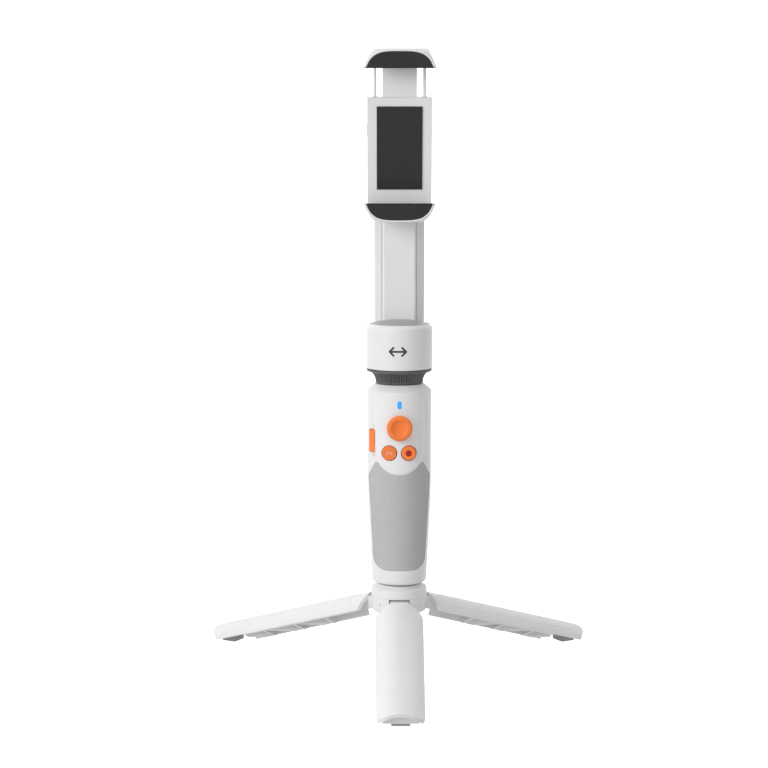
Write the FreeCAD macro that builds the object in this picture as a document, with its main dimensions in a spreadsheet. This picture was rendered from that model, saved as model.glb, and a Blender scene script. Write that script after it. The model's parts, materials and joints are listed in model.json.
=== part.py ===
import FreeCAD, Part
import math
import operator
import os

import Sketcher

# A two-axis phone gimbal on a folding table tripod, in millimetres.
# Z is up, Z = 0 is the floor under the three feet, and the pan axis is X = Y = 0.
# The control panel faces -Y. Sub-parts are built where they lie on the standing gimbal.

DRIVING = {
    # tripod
    "HubRadius": 15.0, "HubBottom": 30.7, "HubTop": 39.4, "CollarTop": 46.0, "NeckRadius": 11.9,
    "PivotRadius": 9.5, "PivotHeight": 35.7, "KnuckleRadius": 3.4, "KnuckleHalf": 5.15, "PinRadius": 1.25,
    "LegLength": 112.5, "LegSlope": 17.1, "LegInset": 0.3, "LegWall": 1.8, "RibWall": 1.4,
    "RibStart": 33.5, "RibPitch": 20.8, "KeelDepth": 2.2, "ShoulderStart": 6.4, "ShoulderEnd": 10.6,
    "FootWidth": 9.4, "FootInner": 105.0, "FootOuter": 113.5, "ScrewRadius": 3.175,
    # handle
    "HandleBottom": 47.0, "HandleTop": 155.0, "HandleRadius": 17.1, "HandleFoot": 14.7, "HandleWall": 1.8,
    "ShoulderRise": 3.4, "ShoulderWidth": 4.1,
    "PanelHalf": 12.3, "PanelRadius": 17.5, "PanelBottom": 108.5, "PanelTop": 151.0, "GripDepth": 0.9,
    "GripBottom": 55.3,
    "StickHeight": 133.3, "StickRadius": 6.85, "StickPivot": 12.0, "ButtonRadius": 3.85,
    "ButtonHeight": 119.5, "ModeAcross": -5.35, "RecordAcross": 4.9, "LightHeight": 145.2,
    "LightWidth": 2.2, "LightTall": 4.3,
    "RockerHeight": 125.2, "RockerHalf": 6.0, "RockerWidth": 4.8, "RockerAngle": 57.0,
    # telescopic rod
    "RodRadius": 7.4, "RodStep": 0.7, "RodWall": 0.65, "RodBottom": 57.0, "RodTop": 152.0,
    # pan motor
    "MotorRadius": 17.6, "MotorBottom": 163.3, "MotorTop": 185.6, "CapRadius": 15.5, "CapEdge": 187.3,
    "CapTop": 189.0, "BaseBottom": 155.3, "BaseTop": 163.0, "BaseNeck": 12.7, "ShaftRadius": 2.05,
    "BearingRadius": 4.2, "CoreRadius": 7.0, "ToothRadius": 13.2, "ToothCount": 12,
    # sliding arm
    "MastHalf": 9.2, "MastFront": 10.0, "MastNeck": 17.05, "MastBack": 18.6, "RailHalf": 11.8,
    "MastTop": 245.0, "ArmHalf": 13.55, "ArmFront": 15.4, "ArmInner": 18.75, "ArmBack": 21.0,
    "ArmBottom": 184.0,
    # roll motor
    "RollHeight": 289.2, "RollRadius": 17.5, "RollFront": 7.0, "RollSplit": 10.7, "RollBack": 21.5,
    # tilting phone clamp
    "TiltDepth": 2.0, "TiltAngle": 10.0, "ClampGap": 77.8, "ClampBodyTop": 18.5, "ClampHalf": 17.0,
    "ClampFront": 8.0, "ClampRear": 3.0, "PhoneDepth": 8.1, "JawHalf": 18.9, "JawFlat": 9.7,
    "JawHeight": 6.7, "JawFall": 8.0, "LipReach": 3.4, "LipThick": 2.4, "JawRim": 1.75,
}

OPERATIONS = {"+": operator.add, "-": operator.sub, "*": operator.mul, "/": operator.truediv}
PLANES = {"XY": "XY_Plane", "XZ": "XZ_Plane", "YZ": "YZ_Plane"}
LEG_TURNS = {"front": 0, "right": 120, "left": 240}
X_AXIS, Y_AXIS, Z_AXIS = "X", "Y", "Z"
AXES = {"X": FreeCAD.Vector(1, 0, 0), "Y": FreeCAD.Vector(0, 1, 0), "Z": FreeCAD.Vector(0, 0, 1)}

BACK_TO_FRONT = FreeCAD.Rotation(AXES["X"], 90)
FRONT_TO_BACK = FreeCAD.Rotation(AXES["X"], -90)

doc = FreeCAD.newDocument("PhoneGimbal")
nodes = []
stands = {}


class Dim:
    """A size that carries its spreadsheet expression and its number together."""

    def __init__(self, text, value):
        self.text = text
        self.value = value

    def __add__(self, other):
        return combine(self, "+", other)

    def __radd__(self, other):
        return combine(other, "+", self)

    def __sub__(self, other):
        return combine(self, "-", other)

    def __rsub__(self, other):
        return combine(other, "-", self)

    def __mul__(self, other):
        return combine(self, "*", other)

    def __rmul__(self, other):
        return combine(other, "*", self)

    def __truediv__(self, other):
        return combine(self, "/", other)

    def __rtruediv__(self, other):
        return combine(other, "/", self)

    def __neg__(self):
        return combine(0, "-", self)


def dim(size):
    """A plain number as a Dim; a Dim as it is."""
    return size if isinstance(size, Dim) else Dim(f"({float(size)!r})", float(size))


def combine(left, sign, right):
    left, right = dim(left), dim(right)
    return Dim(f"({left.text} {sign} {right.text})", OPERATIONS[sign](left.value, right.value))


def root(size):
    return Dim(f"sqrt({size.text})", math.sqrt(size.value))


def sine(angle):
    angle = dim(angle)
    return Dim(f"sin({angle.text})", math.sin(math.radians(angle.value)))


def cosine(angle):
    angle = dim(angle)
    return Dim(f"cos({angle.text})", math.cos(math.radians(angle.value)))


def make_sheet():
    """The driving dimensions, one row each: the name, then the aliased value."""
    sheet = doc.addObject("Spreadsheet::Sheet", "Sizes")
    for row, (name, value) in enumerate(DRIVING.items(), start=1):
        sheet.set(f"A{row}", name)
        sheet.set(f"B{row}", str(value))
        sheet.setAlias(f"B{row}", name)
    doc.recompute()
    return {name: Dim(f"Sizes.{name}", float(sheet.get(name))) for name in DRIVING}


D = make_sheet()


def bind(obj, **sizes):
    """Bind each property to its size; Base_x and the like reach into the Placement."""
    for name, size in sizes.items():
        path = f".Placement.{name.replace('_', '.')}" if name.startswith("Base_") else name
        obj.setExpression(path, dim(size).text)


def stand(obj, spot, rotation=None):
    """Give obj its Placement, with the place bound to the sheet and remembered for a later turn."""
    spot = [dim(size) for size in spot]
    place = FreeCAD.Vector(*[size.value for size in spot])
    obj.Placement = FreeCAD.Placement(place, rotation or obj.Placement.Rotation)
    bind(obj, Base_x=spot[0], Base_y=spot[1], Base_z=spot[2])
    stands[obj.Name] = spot
    return obj


def rotated(spot, axis, angle):
    """Where a point goes when it turns about the X, Y or Z axis through the origin."""
    first, second = {X_AXIS: (1, 2), Y_AXIS: (2, 0), Z_AXIS: (0, 1)}[axis]
    turned_spot = list(spot)
    turned_spot[first] = spot[first] * cosine(angle) - spot[second] * sine(angle)
    turned_spot[second] = spot[first] * sine(angle) + spot[second] * cosine(angle)
    return turned_spot


def carry(obj, axis, angle, shift=(0, 0, 0)):
    """Turn a piece about an axis through the origin and then shift it, with its place still bound."""
    spot = rotated([dim(size) for size in stands.get(obj.Name, (0, 0, 0))], axis, angle)
    rotation = FreeCAD.Rotation(AXES[axis], dim(angle).value).multiply(obj.Placement.Rotation)
    return stand(obj, [place + step for place, step in zip(spot, shift)], rotation)


def node(label, obj, spot=None, rotation=None):
    """Make obj a sub-part: its Label names its file, and its Placement stands it in its place."""
    obj.Label = label
    if spot is not None:
        stand(obj, spot, rotation)
    nodes.append(obj)
    return obj


def arc_between(start, end, radius):
    """The arc of a signed radius from start to end; a positive radius bends to the left."""
    (x0, y0), (x1, y1) = start, end
    half = math.hypot(x1 - x0, y1 - y0) / 2
    rise = math.sqrt(max(radius * radius - half * half, 0.0)) * (1 if radius > 0 else -1)
    mid_x, mid_y = (x0 + x1) / 2, (y0 + y1) / 2
    centre = FreeCAD.Vector(mid_x - (y1 - y0) / (2 * half) * rise, mid_y + (x1 - x0) / (2 * half) * rise, 0)
    first = math.atan2(y0 - centre.y, x0 - centre.x)
    last = math.atan2(y1 - centre.y, x1 - centre.x)
    circle = Part.Circle(centre, AXES[Z_AXIS], abs(radius))
    if radius > 0:
        return Part.ArcOfCircle(circle, first, last), (1, 2)
    return Part.ArcOfCircle(circle, last, first), (2, 1)


def pin_point(sketch, edge, end, spot):
    """Fix one end of an edge at spot, measured from the sketch's origin."""
    for kind, axis, size in (("DistanceX", -2, spot[0]), ("DistanceY", -1, spot[1])):
        if abs(size.value) < 1e-9:
            sketch.addConstraint(Sketcher.Constraint("PointOnObject", edge, end, axis))
        else:
            index = sketch.addConstraint(Sketcher.Constraint(kind, -1, 1, edge, end, size.value))
            sketch.setExpression(f"Constraints[{index}]", size.text)


def draw(body, plane, outline, offset=0):
    """A closed sketch on one of the body's own planes. A corner is (x, y), or (x, y, radius)
    where the edge that leaves it is an arc of that signed radius."""
    sketch = body.newObject("Sketcher::SketchObject", f"{body.Name}_outline")
    support = [item for item in body.Origin.OriginFeatures if item.Role == PLANES[plane]][0]
    sketch.AttachmentSupport = [(support, "")]
    sketch.MapMode = "FlatFace"
    sketch.setExpression(".AttachmentOffset.Base.z", dim(offset).text)
    corners = [tuple(dim(size) for size in corner) for corner in outline]
    ends = []
    for index, corner in enumerate(corners):
        start = (corner[0].value, corner[1].value)
        following = corners[(index + 1) % len(corners)]
        stop = (following[0].value, following[1].value)
        if len(corner) == 3:
            edge, order = arc_between(start, stop, corner[2].value)
        else:
            edge = Part.LineSegment(FreeCAD.Vector(*start, 0), FreeCAD.Vector(*stop, 0))
            order = (1, 2)
        sketch.addGeometry(edge, False)
        ends.append(order)
    for index, corner in enumerate(corners):
        following = (index + 1) % len(corners)
        link = Sketcher.Constraint("Coincident", index, ends[index][1], following, ends[following][0])
        sketch.addConstraint(link)
        pin_point(sketch, index, ends[index][0], corner)
        if len(corner) == 3:
            sign = 1 if corner[2].value > 0 else -1
            number = sketch.addConstraint(Sketcher.Constraint("Radius", index, abs(corner[2].value)))
            sketch.setExpression(f"Constraints[{number}]", (corner[2] * sign).text)
    return sketch


def turned(name, outline, angle=360):
    """A piece turned about Z from its half section (radius, height); less than a full turn is
    centred on the +X direction."""
    body = doc.addObject("PartDesign::Body", name)
    sketch = draw(body, "XZ", outline)
    spin = body.newObject("PartDesign::Revolution", f"{body.Name}_turn")
    spin.Profile = sketch
    spin.ReferenceAxis = (sketch, ["V_Axis"])
    spin.Midplane = angle < 360
    bind(spin, Angle=angle)
    sketch.Visibility = False
    return body


def prism(name, plane, outline, start, length):
    """An outline padded from start: up Z from XY, along +X from YZ, along -Y from XZ."""
    body = doc.addObject("PartDesign::Body", name)
    sketch = draw(body, plane, outline, -dim(start) if plane == "XZ" else start)
    pad = body.newObject("PartDesign::Pad", f"{body.Name}_pad")
    pad.Profile = sketch
    bind(pad, Length=length)
    return body


def box(name, low, high):
    """A block between two corners."""
    block = doc.addObject("Part::Box", name)
    low, high = [dim(size) for size in low], [dim(size) for size in high]
    bind(block, Length=high[0] - low[0], Width=high[1] - low[1], Height=high[2] - low[2])
    return stand(block, low)


def rod(name, radius, length, start, axis=Z_AXIS):
    """A cylinder from start along axis."""
    bar = doc.addObject("Part::Cylinder", name)
    bind(bar, Radius=radius, Height=length)
    return stand(bar, start, FreeCAD.Rotation(AXES[Z_AXIS], AXES[axis]))


def fused(name, *pieces):
    joined = doc.addObject("Part::MultiFuse", name)
    joined.Shapes = list(pieces)
    return joined


def shared(name, *pieces):
    """The volume that all the pieces share."""
    kept = doc.addObject("Part::MultiCommon", name)
    kept.Shapes = list(pieces)
    return kept


def cut(name, base, *tools):
    """base less every tool."""
    result = doc.addObject("Part::Cut", name)
    result.Base = base
    result.Tool = tools[0] if len(tools) == 1 else fused(f"{name}_tools", *tools)
    return result


def group(name, *pieces):
    """Separate solids that share one file."""
    bundle = doc.addObject("Part::Compound", name)
    bundle.Links = list(pieces)
    return bundle


def tube(name, inner, outer, low, high):
    return turned(name, [(inner, low), (outer, low), (outer, high), (inner, high)])


def turn_about_z(obj, angle):
    return carry(obj, Z_AXIS, angle)


# ---------------------------------------------------------------- tripod


def leg_section(name):
    """The leg's wedge, folded down: a third of the hub's circle, its tip cut off at the keel."""
    reach = root(D["HubRadius"] * D["HubRadius"] - 0.1) - D["LegInset"] / 2 - 0.25
    side_x = reach * sine(60)
    side_y = D["LegInset"] + reach * cosine(60)
    keel = (D["KeelDepth"] - D["LegInset"]) * sine(60) / cosine(60)
    arc = root(side_x * side_x + side_y * side_y)
    outline = [(keel, -D["KeelDepth"]), (-keel, -D["KeelDepth"]), (-side_x, -side_y, arc),
               (side_x, -side_y)]
    low = D["PivotHeight"] - D["LegLength"]
    return prism(name, "XY", outline, low, D["LegLength"]), arc


def leg_ribs(name):
    """The keel wall, the cross ribs and the slanting ribs under one leg."""
    half = D["RibWall"] / 2
    drop = D["PivotHeight"] - D["LegLength"]
    walls = [box(f"{name}_keel", (-half, -D["HubRadius"], drop + 23), (half, 0, D["PivotHeight"] - 12))]
    for number in range(4):
        height = D["PivotHeight"] - D["RibStart"] - D["RibPitch"] * number
        walls.append(box(f"{name}_rib", (-13, -D["HubRadius"], height - half), (13, 0, height + half)))
        for side in (-1, 1):
            outline = [(0, height + 1), (0, height - 1), (side * 12.6, height - 1 - D["RibPitch"]),
                       (side * 12.6, height + 1 - D["RibPitch"])]
            if number == 3:
                outline = [(0, height + 1), (0, height - 1), (side * 12.6, height - 9),
                           (side * 12.6, height - 7)]
            walls.append(prism(f"{name}_slant", "XZ", outline, 0, D["HubRadius"]))
    foot = drop + 17.5
    walls.append(box(f"{name}_foot", (-9, -D["HubRadius"], foot - 15), (9, -7.6, foot)))
    return fused(f"{name}_ribs", *walls)


def leg(side, turn):
    """One ribbed leg, modelled hanging down in front and then swung up to its open slope."""
    name = f"leg_{side}"
    section, arc = leg_section(f"{name}_section")
    drop = D["PivotHeight"] - D["LegLength"]
    hollow = rod(f"{name}_hollow", arc - D["LegWall"], D["LegLength"] + 2, (0, 0, drop - 1))
    skin = cut(f"{name}_skin", section, hollow)
    ribs = shared(f"{name}_web", leg_ribs(name), section)
    half = D["HubRadius"] * 0.855
    start = D["PivotHeight"] - D["ShoulderStart"]
    full = D["PivotHeight"] - D["ShoulderEnd"]
    corner = 7
    front = [(-D["KnuckleHalf"], start), (-half, full), (-half + 0.7, drop + corner, corner),
             (-half + 0.7 + corner, drop), (half - 0.7 - corner, drop, corner), (half - 0.7, drop + corner),
             (half, full), (D["KnuckleHalf"], start)]
    mould = prism(f"{name}_mould", "XZ", front, 0, D["HubRadius"] + 1)
    blade = shared(f"{name}_blade", fused(f"{name}_shell", skin, ribs), mould)
    inboard = box(f"{name}_trim", (-14, -7.45, drop - 1), (14, 0, drop + 23))
    knuckle = rod(f"{name}_knuckle", D["KnuckleRadius"], D["KnuckleHalf"] * 2,
                  (-D["KnuckleHalf"], -D["PivotRadius"], D["PivotHeight"]), X_AXIS)
    neck = box(f"{name}_neck", (-D["KnuckleHalf"], -D["PivotRadius"] - D["KnuckleRadius"],
                                D["PivotHeight"] - 13),
               (D["KnuckleHalf"], -D["PivotRadius"] + D["KnuckleRadius"], D["PivotHeight"]))
    bore_start = (-15, -D["PivotRadius"], D["PivotHeight"])
    bore = rod(f"{name}_bore", D["PinRadius"] + 0.05, 30, bore_start, X_AXIS)
    solid = cut(name, fused(f"{name}_joined", blade, knuckle, neck), inboard, bore)
    node(name, solid)
    pivot = [dim(0), -D["PivotRadius"], D["PivotHeight"]]
    swing = D["LegSlope"] - 90
    shift = [place - moved for place, moved in zip(pivot, rotated(pivot, X_AXIS, swing))]
    carry(solid, X_AXIS, swing, shift)
    turn_about_z(solid, turn)


def foot_pad(side, turn):
    """A rubber foot: flat on the floor, its top lying against the underside of the leg."""
    slope = sine(D["LegSlope"]) / cosine(D["LegSlope"])
    below_pivot = 2.05
    crown = D["PivotHeight"] + D["PivotRadius"] * slope - below_pivot / cosine(D["LegSlope"])
    inner, outer = D["FootInner"], D["FootOuter"]
    outline = [(-inner, 0), (-inner, crown - inner * slope + 0.15), (-outer, crown - outer * slope + 0.15),
               (-outer, 0)]
    pad = prism(f"foot_pad_{side}", "YZ", outline, -D["FootWidth"] / 2, D["FootWidth"])
    node(f"foot_pad_{side}", pad)
    turn_about_z(pad, turn)


def tripod_hub():
    """The lower hub with three slots for the legs' knuckles and a hole for each hinge pin."""
    bottom, top, radius = D["HubBottom"], D["HubTop"], D["HubRadius"]
    edge = 2.4
    blank = turned("hub_blank", [(3.4, bottom), (radius - edge, bottom, edge), (radius, bottom + edge),
                                 (radius, top), (3.4, top)])
    tools = []
    for turn in LEG_TURNS.values():
        slot = box("hub_slot", (-5.5, -20, bottom - 5), (5.5, -5.6, top + 5))
        turn_about_z(slot, turn)
        start = (-10.7, -D["PivotRadius"], D["PivotHeight"])
        hole = rod("hub_hole", D["PinRadius"] + 0.02, 21.4, start, X_AXIS)
        turn_about_z(hole, turn)
        tools += [slot, hole]
    node("tripod_hub", cut("tripod_hub", blank, *tools))


def hinge_pins():
    pins = []
    for turn in LEG_TURNS.values():
        pin = rod("hinge_pin", D["PinRadius"], 21, (-10.5, -D["PivotRadius"], D["PivotHeight"]), X_AXIS)
        turn_about_z(pin, turn)
        pins.append(pin)
    node("leg_hinge_pins", group("leg_hinge_pins", *pins))


def tripod():
    """Collar, hub, hinge pins, the screw into the handle, and the three legs with their feet."""
    low, top, radius = D["HubTop"], D["CollarTop"], D["HubRadius"]
    ridge = low + 4.5
    collar = [(3.4, low + 1.6), (5.6, low + 1.6), (5.6, low), (radius, low), (radius, ridge),
              (D["NeckRadius"], top - 0.5), (D["NeckRadius"], top), (3.4, top)]
    node("tripod_collar", turned("tripod_collar", collar))
    screw = [(0, D["HubBottom"] + 1.5), (3.3, D["HubBottom"] + 1.5), (3.3, low), (5.4, low),
             (5.4, low + 1.5), (D["ScrewRadius"], low + 1.5), (D["ScrewRadius"], 53), (2.6, 53.8), (0, 53.8)]
    node("tripod_screw", turned("tripod_screw", screw))
    tripod_hub()
    hinge_pins()
    for side, turn in LEG_TURNS.items():
        leg(side, turn)
        foot_pad(side, turn)


# ---------------------------------------------------------------- handle
# The handle is a cone from its foot, a slow arc, and then a straight cylinder up to its shoulder.

TAPER_FOOT, TAPER_TOP, TAPER_SHY, TAPER_BEND, STRAIGHT_FROM = 49.0, 88.0, 0.4, 320.0, 104.0
ROCKER_GAP = 0.35


def handle_outline(inset, low, high):
    """Half section of a skin of the handle between two heights: its outer face lies inset below
    the handle's surface, and the caller closes it on the inside."""
    slope = (D["HandleRadius"] - TAPER_SHY - D["HandleFoot"]) / (TAPER_TOP - TAPER_FOOT)
    at_low = D["HandleFoot"] + slope * (low - TAPER_FOOT)
    return [(at_low - inset, low), (D["HandleRadius"] - TAPER_SHY - inset, TAPER_TOP, TAPER_BEND),
            (D["HandleRadius"] - inset, STRAIGHT_FROM), (D["HandleRadius"] - inset, high)]


def inner_outline(inset, low, high):
    """The same line drawn from the top down, for the inside of a wall."""
    foot, taper, straight, top = handle_outline(inset, low, high)
    return [top, (*straight, inset - TAPER_BEND), taper[:2], foot]


def handle_blank(name):
    """The whole turned casing: tapered towards the foot, with a rounded shoulder at the top."""
    wall, rise, mouth = D["HandleWall"], D["ShoulderRise"], 7.6
    neck = D["HandleRadius"] - D["ShoulderWidth"]
    top, bottom = D["HandleTop"], D["HandleBottom"]
    outer = handle_outline(0, 49, top - rise)
    inner = inner_outline(wall, 51, top - rise - 0.8)
    outline = [(12.0, bottom), (D["HandleFoot"] - 2, bottom, 2.0), *outer, (neck, top), (mouth, top),
               (mouth, top - 2.0), (neck - 0.6, top - 2.0), *inner, (12.0, 51)]
    return turned(name, outline)


def panel_outline(growth):
    """The control panel's face: straight sides and a round bottom end."""
    half = D["PanelHalf"] + growth
    bend = D["PanelBottom"] + D["PanelHalf"]
    return [(-half, D["PanelTop"] + growth), (-half, bend, half), (0, bend - half, half), (half, bend),
            (half, D["PanelTop"] + growth)]


def grip_outline(growth):
    """The soft grip's face: two wing tips beside the panel and a rounded foot."""
    side, corner = 16.3 + growth, 7.0
    bottom = D["GripBottom"] - growth
    return [(-12.9, 113.8 + growth), (-side, 106.4), (-side + 2.4, bottom + corner, corner),
            (-side + 2.4 + corner, bottom), (side - 2.4 - corner, bottom, corner),
            (side - 2.4, bottom + corner), (side, 106.4), (12.9, 113.8 + growth)]


def grip_skin(name, inset, depth, growth):
    """A layer of the handle's surface inside the grip's face and outside the panel."""
    low, high = 50, 140
    outer = handle_outline(inset, low, high)
    layer = turned(f"{name}_layer", [*outer, *inner_outline(inset + depth, low, high)])
    face = prism(f"{name}_face", "XZ", grip_outline(growth), 0, 20)
    return shared(f"{name}_patch", layer, face)


def rocker_block(name, growth):
    """The zoom rocker's block in its window on the handle's left flank."""
    half, tall = D["RockerWidth"] / 2 + growth, D["RockerHalf"] + growth
    block = box(name, (-half, -17.7 - growth * 6, D["RockerHeight"] - tall),
                (half, -13.9 + growth * 6, D["RockerHeight"] + tall))
    turn_about_z(block, -D["RockerAngle"])
    return block


def screw_spots():
    return [(side * 12.6, height) for height in (54.5, 147.0) for side in (-1, 1)]


def handle_shells():
    """The casing, split into a front and a rear half along Y = 0, with screw bosses between."""
    halves = {"front": (-30, 0), "rear": (0, 30)}
    for half, (near, far) in halves.items():
        name = f"handle_{half}_shell"
        keep = box(f"{name}_half", (-30, near, 40), (30, far, 160))
        blank = handle_blank(f"{name}_blank")
        core = turned(f"{name}_core", [*handle_outline(0.5, 49, 151), (0, 151), (0, 49)])
        posts = [rod(f"{name}_boss", 2.1, 30, (x, -15, z), Y_AXIS) for x, z in screw_spots()]
        bosses = shared(f"{name}_bosses", fused(f"{name}_posts", *posts), core)
        shell = shared(f"{name}_solid", fused(f"{name}_all", blank, bosses), keep)
        tools = [rod(f"{name}_bore", 0.95, 24, (x, -6, z), Y_AXIS) for x, z in screw_spots()]
        if half == "rear":
            tools += [rod(f"{name}_sink", 1.8, 14, (x, 5.0, z), Y_AXIS) for x, z in screw_spots()]
            tools.append(box(f"{name}_port", (-4.6, 9, 64.2), (4.6, 30, 67.6)))
        else:
            tools.append(prism(f"{name}_window", "XZ", panel_outline(0), 0, 30))
            tools.append(grip_skin(f"{name}_recess", -0.5, D["GripDepth"] + 0.5, 0))
            tools.append(rocker_block(f"{name}_slot", ROCKER_GAP))
        node(name, cut(name, shell, *tools))


def light_outline():
    """The status light's window: a small upright slot with round ends."""
    half = D["LightWidth"] / 2
    low, high = D["LightHeight"] - D["LightTall"] / 2, D["LightHeight"] + D["LightTall"] / 2
    return [(-half, low + half, half), (0, low, half), (half, low + half), (half, high - half, half),
            (0, high, half), (-half, high - half)]


def front_pieces():
    """The control panel, its light, the soft grip and what sits behind the panel."""
    face = prism("panel_face", "XZ", panel_outline(0), 0, 30)
    skin = tube("panel_skin", 15.5, D["PanelRadius"], D["PanelBottom"] - 2, D["PanelTop"])
    stick = rod("panel_stick_hole", 6.0, 20, (0, -25, D["StickHeight"]), Y_AXIS)
    holes = []
    for spot in ("ModeAcross", "RecordAcross"):
        start = (D[spot], -25, D["ButtonHeight"])
        holes.append(rod("panel_button_hole", D["ButtonRadius"] + 0.35, 20, start, Y_AXIS))
    lamp = prism("panel_light_hole", "XZ", light_outline(), -5, 20)
    slot = rocker_block("panel_rocker_slot", ROCKER_GAP)
    blank = shared("panel_blank", face, skin)
    node("control_panel", cut("control_panel", blank, stick, *holes, lamp, slot))
    node("status_light", prism("status_light", "XZ", light_outline(), -14.5, D["PanelRadius"] - 14.4))
    window = prism("grip_window", "XZ", panel_outline(0.4), 0, 30)
    patch = grip_skin("front_grip", -0.05, D["GripDepth"] + 0.05, -0.15)
    node("front_grip", cut("front_grip", patch, window))
    board = box("main_board", (-9, -9.4, 100), (9, -8.2, 148))
    node("main_board", board)
    switches = []
    for spot in ("ModeAcross", "RecordAcross"):
        low = (D[spot] - 3, -12.4, D["ButtonHeight"] - 3)
        switches.append(box("tact_switch", low, (D[spot] + 3, -9.4, D["ButtonHeight"] + 3)))
    node("tact_switches", group("tact_switches", *switches))


def handle_inside():
    """The base cap, the screw socket, the rod's sleeve, the battery, the port and the screws."""
    cap = [(4.6, D["HandleBottom"]), (12.0, D["HandleBottom"]), (12.0, 51), (4.6, 51)]
    node("handle_base_cap", turned("handle_base_cap", cap))
    thread = D["ScrewRadius"] + 0.03
    socket = [(thread, D["HandleBottom"]), (4.6, D["HandleBottom"]), (4.6, 54.5), (0, 54.5), (0, 54.0),
              (thread, 54.0)]
    node("tripod_socket", turned("tripod_socket", socket))
    outer, inner, top = D["RodRadius"], D["RodRadius"] - D["RodWall"], D["RodTop"] + 0.8
    sleeve = [(0, 55.5), (8.4, 55.5), (8.4, 58), (outer, 58), (outer, top), (inner, top), (inner, 56.5),
              (0, 56.5)]
    node("rod_sleeve", turned("rod_sleeve", sleeve))
    battery = turned("battery_pack", [(8.3, 86), (14.2, 86), (14.2, 143), (8.3, 143)], angle=120)
    node("battery_pack", turn_about_z(battery, 90))
    shell = box("port_shell", (-4.5, 9.5, 64.3), (4.5, 14.9, 67.5))
    mouth = box("port_mouth", (-4.1, 10.5, 64.7), (4.1, 20, 67.1))
    node("charging_port", cut("charging_port", shell, mouth))
    screws = []
    for x, z in screw_spots():
        profile = [(0, -9), (0.9, -9), (0.9, -1.4), (1.7, -1.4), (1.7, 0), (0, 0)]
        screw = turned("shell_screw", profile)
        screws.append(stand(screw, (x, 6.4, z), FRONT_TO_BACK))
    node("shell_screws", group("shell_screws", *screws))


def yoke_bar(name, middle, halves):
    """A block given by its middle and its three half sizes."""
    low = [place - half for place, half in zip(middle, halves)]
    high = [place + half for place, half in zip(middle, halves)]
    return box(name, low, high)


def controls():
    """The thumb stick on its yoke and frame, the two buttons and the zoom rocker."""
    pivot, height = -D["StickPivot"], D["StickHeight"]
    plate = box("frame_plate", (-7.4, -9.9, height - 5.4), (7.4, -9.4, height + 5.4))
    posts = []
    for middle in (-6.1, 6.1):
        low = (middle - 0.85, pivot - 1.8, height - 1.9)
        posts.append(box("frame_post", low, (middle + 0.85, -9.4, height + 1.9)))
    window = box("frame_window", (-4.4, -12, height - 4.4), (4.4, -9, height + 4.4))
    bore = rod("frame_bore", 1.33, 20, (-10, pivot, height), X_AXIS)
    node("joystick_frame", cut("joystick_frame", fused("frame_all", plate, *posts), window, bore))
    bars = []
    for side in (-1, 1):
        bars.append(yoke_bar("yoke_bar", (side * 4.3, pivot, height), (2.3, 0.9, 0.9)))
        bars.append(yoke_bar("yoke_side", (side * 2.7, pivot, height), (0.7, 1.4, 2.6)))
        bars.append(yoke_bar("yoke_end", (0, pivot, height + side * 3.0), (3.4, 1.4, 0.6)))
    node("joystick_yoke", fused("joystick_yoke", *bars))
    radius, rim = D["StickRadius"], 7.9
    cap = [(0, -1.2), (1.2, -1.2), (1.4, 2.6), (2.6, 4.0), (3.2, rim - 0.9, 14.0), (radius, rim + 0.3),
           (radius, rim + 0.9, 1.2), (radius - 1.1, rim + 2.0), (4.4, rim + 2.1, -9.0), (0, rim + 1.0)]
    knob = stand(turned("stick_knob", cap), (0, pivot, height), BACK_TO_FRONT)
    cross_pin = rod("stick_pin", 0.9, 4.6, (0, pivot, height - 2.3))
    node("joystick_cap", fused("joystick_cap", knob, cross_pin))
    wide, tall, seat, dot = D["ButtonRadius"], 4.6, 3.8, 1.55
    side = [(0, 0), (wide, 0), (wide, tall - 0.5, 0.5), (wide - 0.5, tall)]
    mode_spot = (D["ModeAcross"], -12.9, D["ButtonHeight"])
    record_spot = (D["RecordAcross"], -12.9, D["ButtonHeight"])
    node("mode_button", turned("mode_button", [*side, (0, tall)]), mode_spot, BACK_TO_FRONT)
    ring = turned("record_ring", [*side, (dot, tall), (dot, seat), (0, seat)])
    node("record_button", ring, record_spot, BACK_TO_FRONT)
    node("record_dot", tube("record_dot", 0, dot, seat, tall + 0.05), record_spot, BACK_TO_FRONT)
    reach = D["RockerWidth"] / 2 + 0.2
    rocker_pin = rod("rocker_pin", 0.9, reach * 2, (-reach, -14.5, D["RockerHeight"]), X_AXIS)
    turn_about_z(rocker_pin, -D["RockerAngle"])
    node("zoom_rocker", fused("zoom_rocker", rocker_block("zoom_rocker_key", 0), rocker_pin))


def rod_stages():
    """Four sliding tubes, each inside the one before; the last one carries the head plug."""
    for number in range(1, 5):
        outer = D["RodRadius"] - D["RodStep"] * number
        inner = outer - D["RodWall"]
        low, high = D["RodBottom"] + 0.3 * number, D["RodTop"] + 0.5
        if number < 4:
            node(f"rod_stage_{number}", tube(f"rod_stage_{number}", inner, outer, low, high))
        else:
            outline = [(inner, low), (outer, low), (outer, D["BaseBottom"] + 3), (0, D["BaseBottom"] + 3),
                       (0, D["BaseBottom"] - 6), (inner, D["BaseBottom"] - 6)]
            node("rod_stage_4", turned("rod_stage_4", outline))


# ---------------------------------------------------------------- motors


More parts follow.
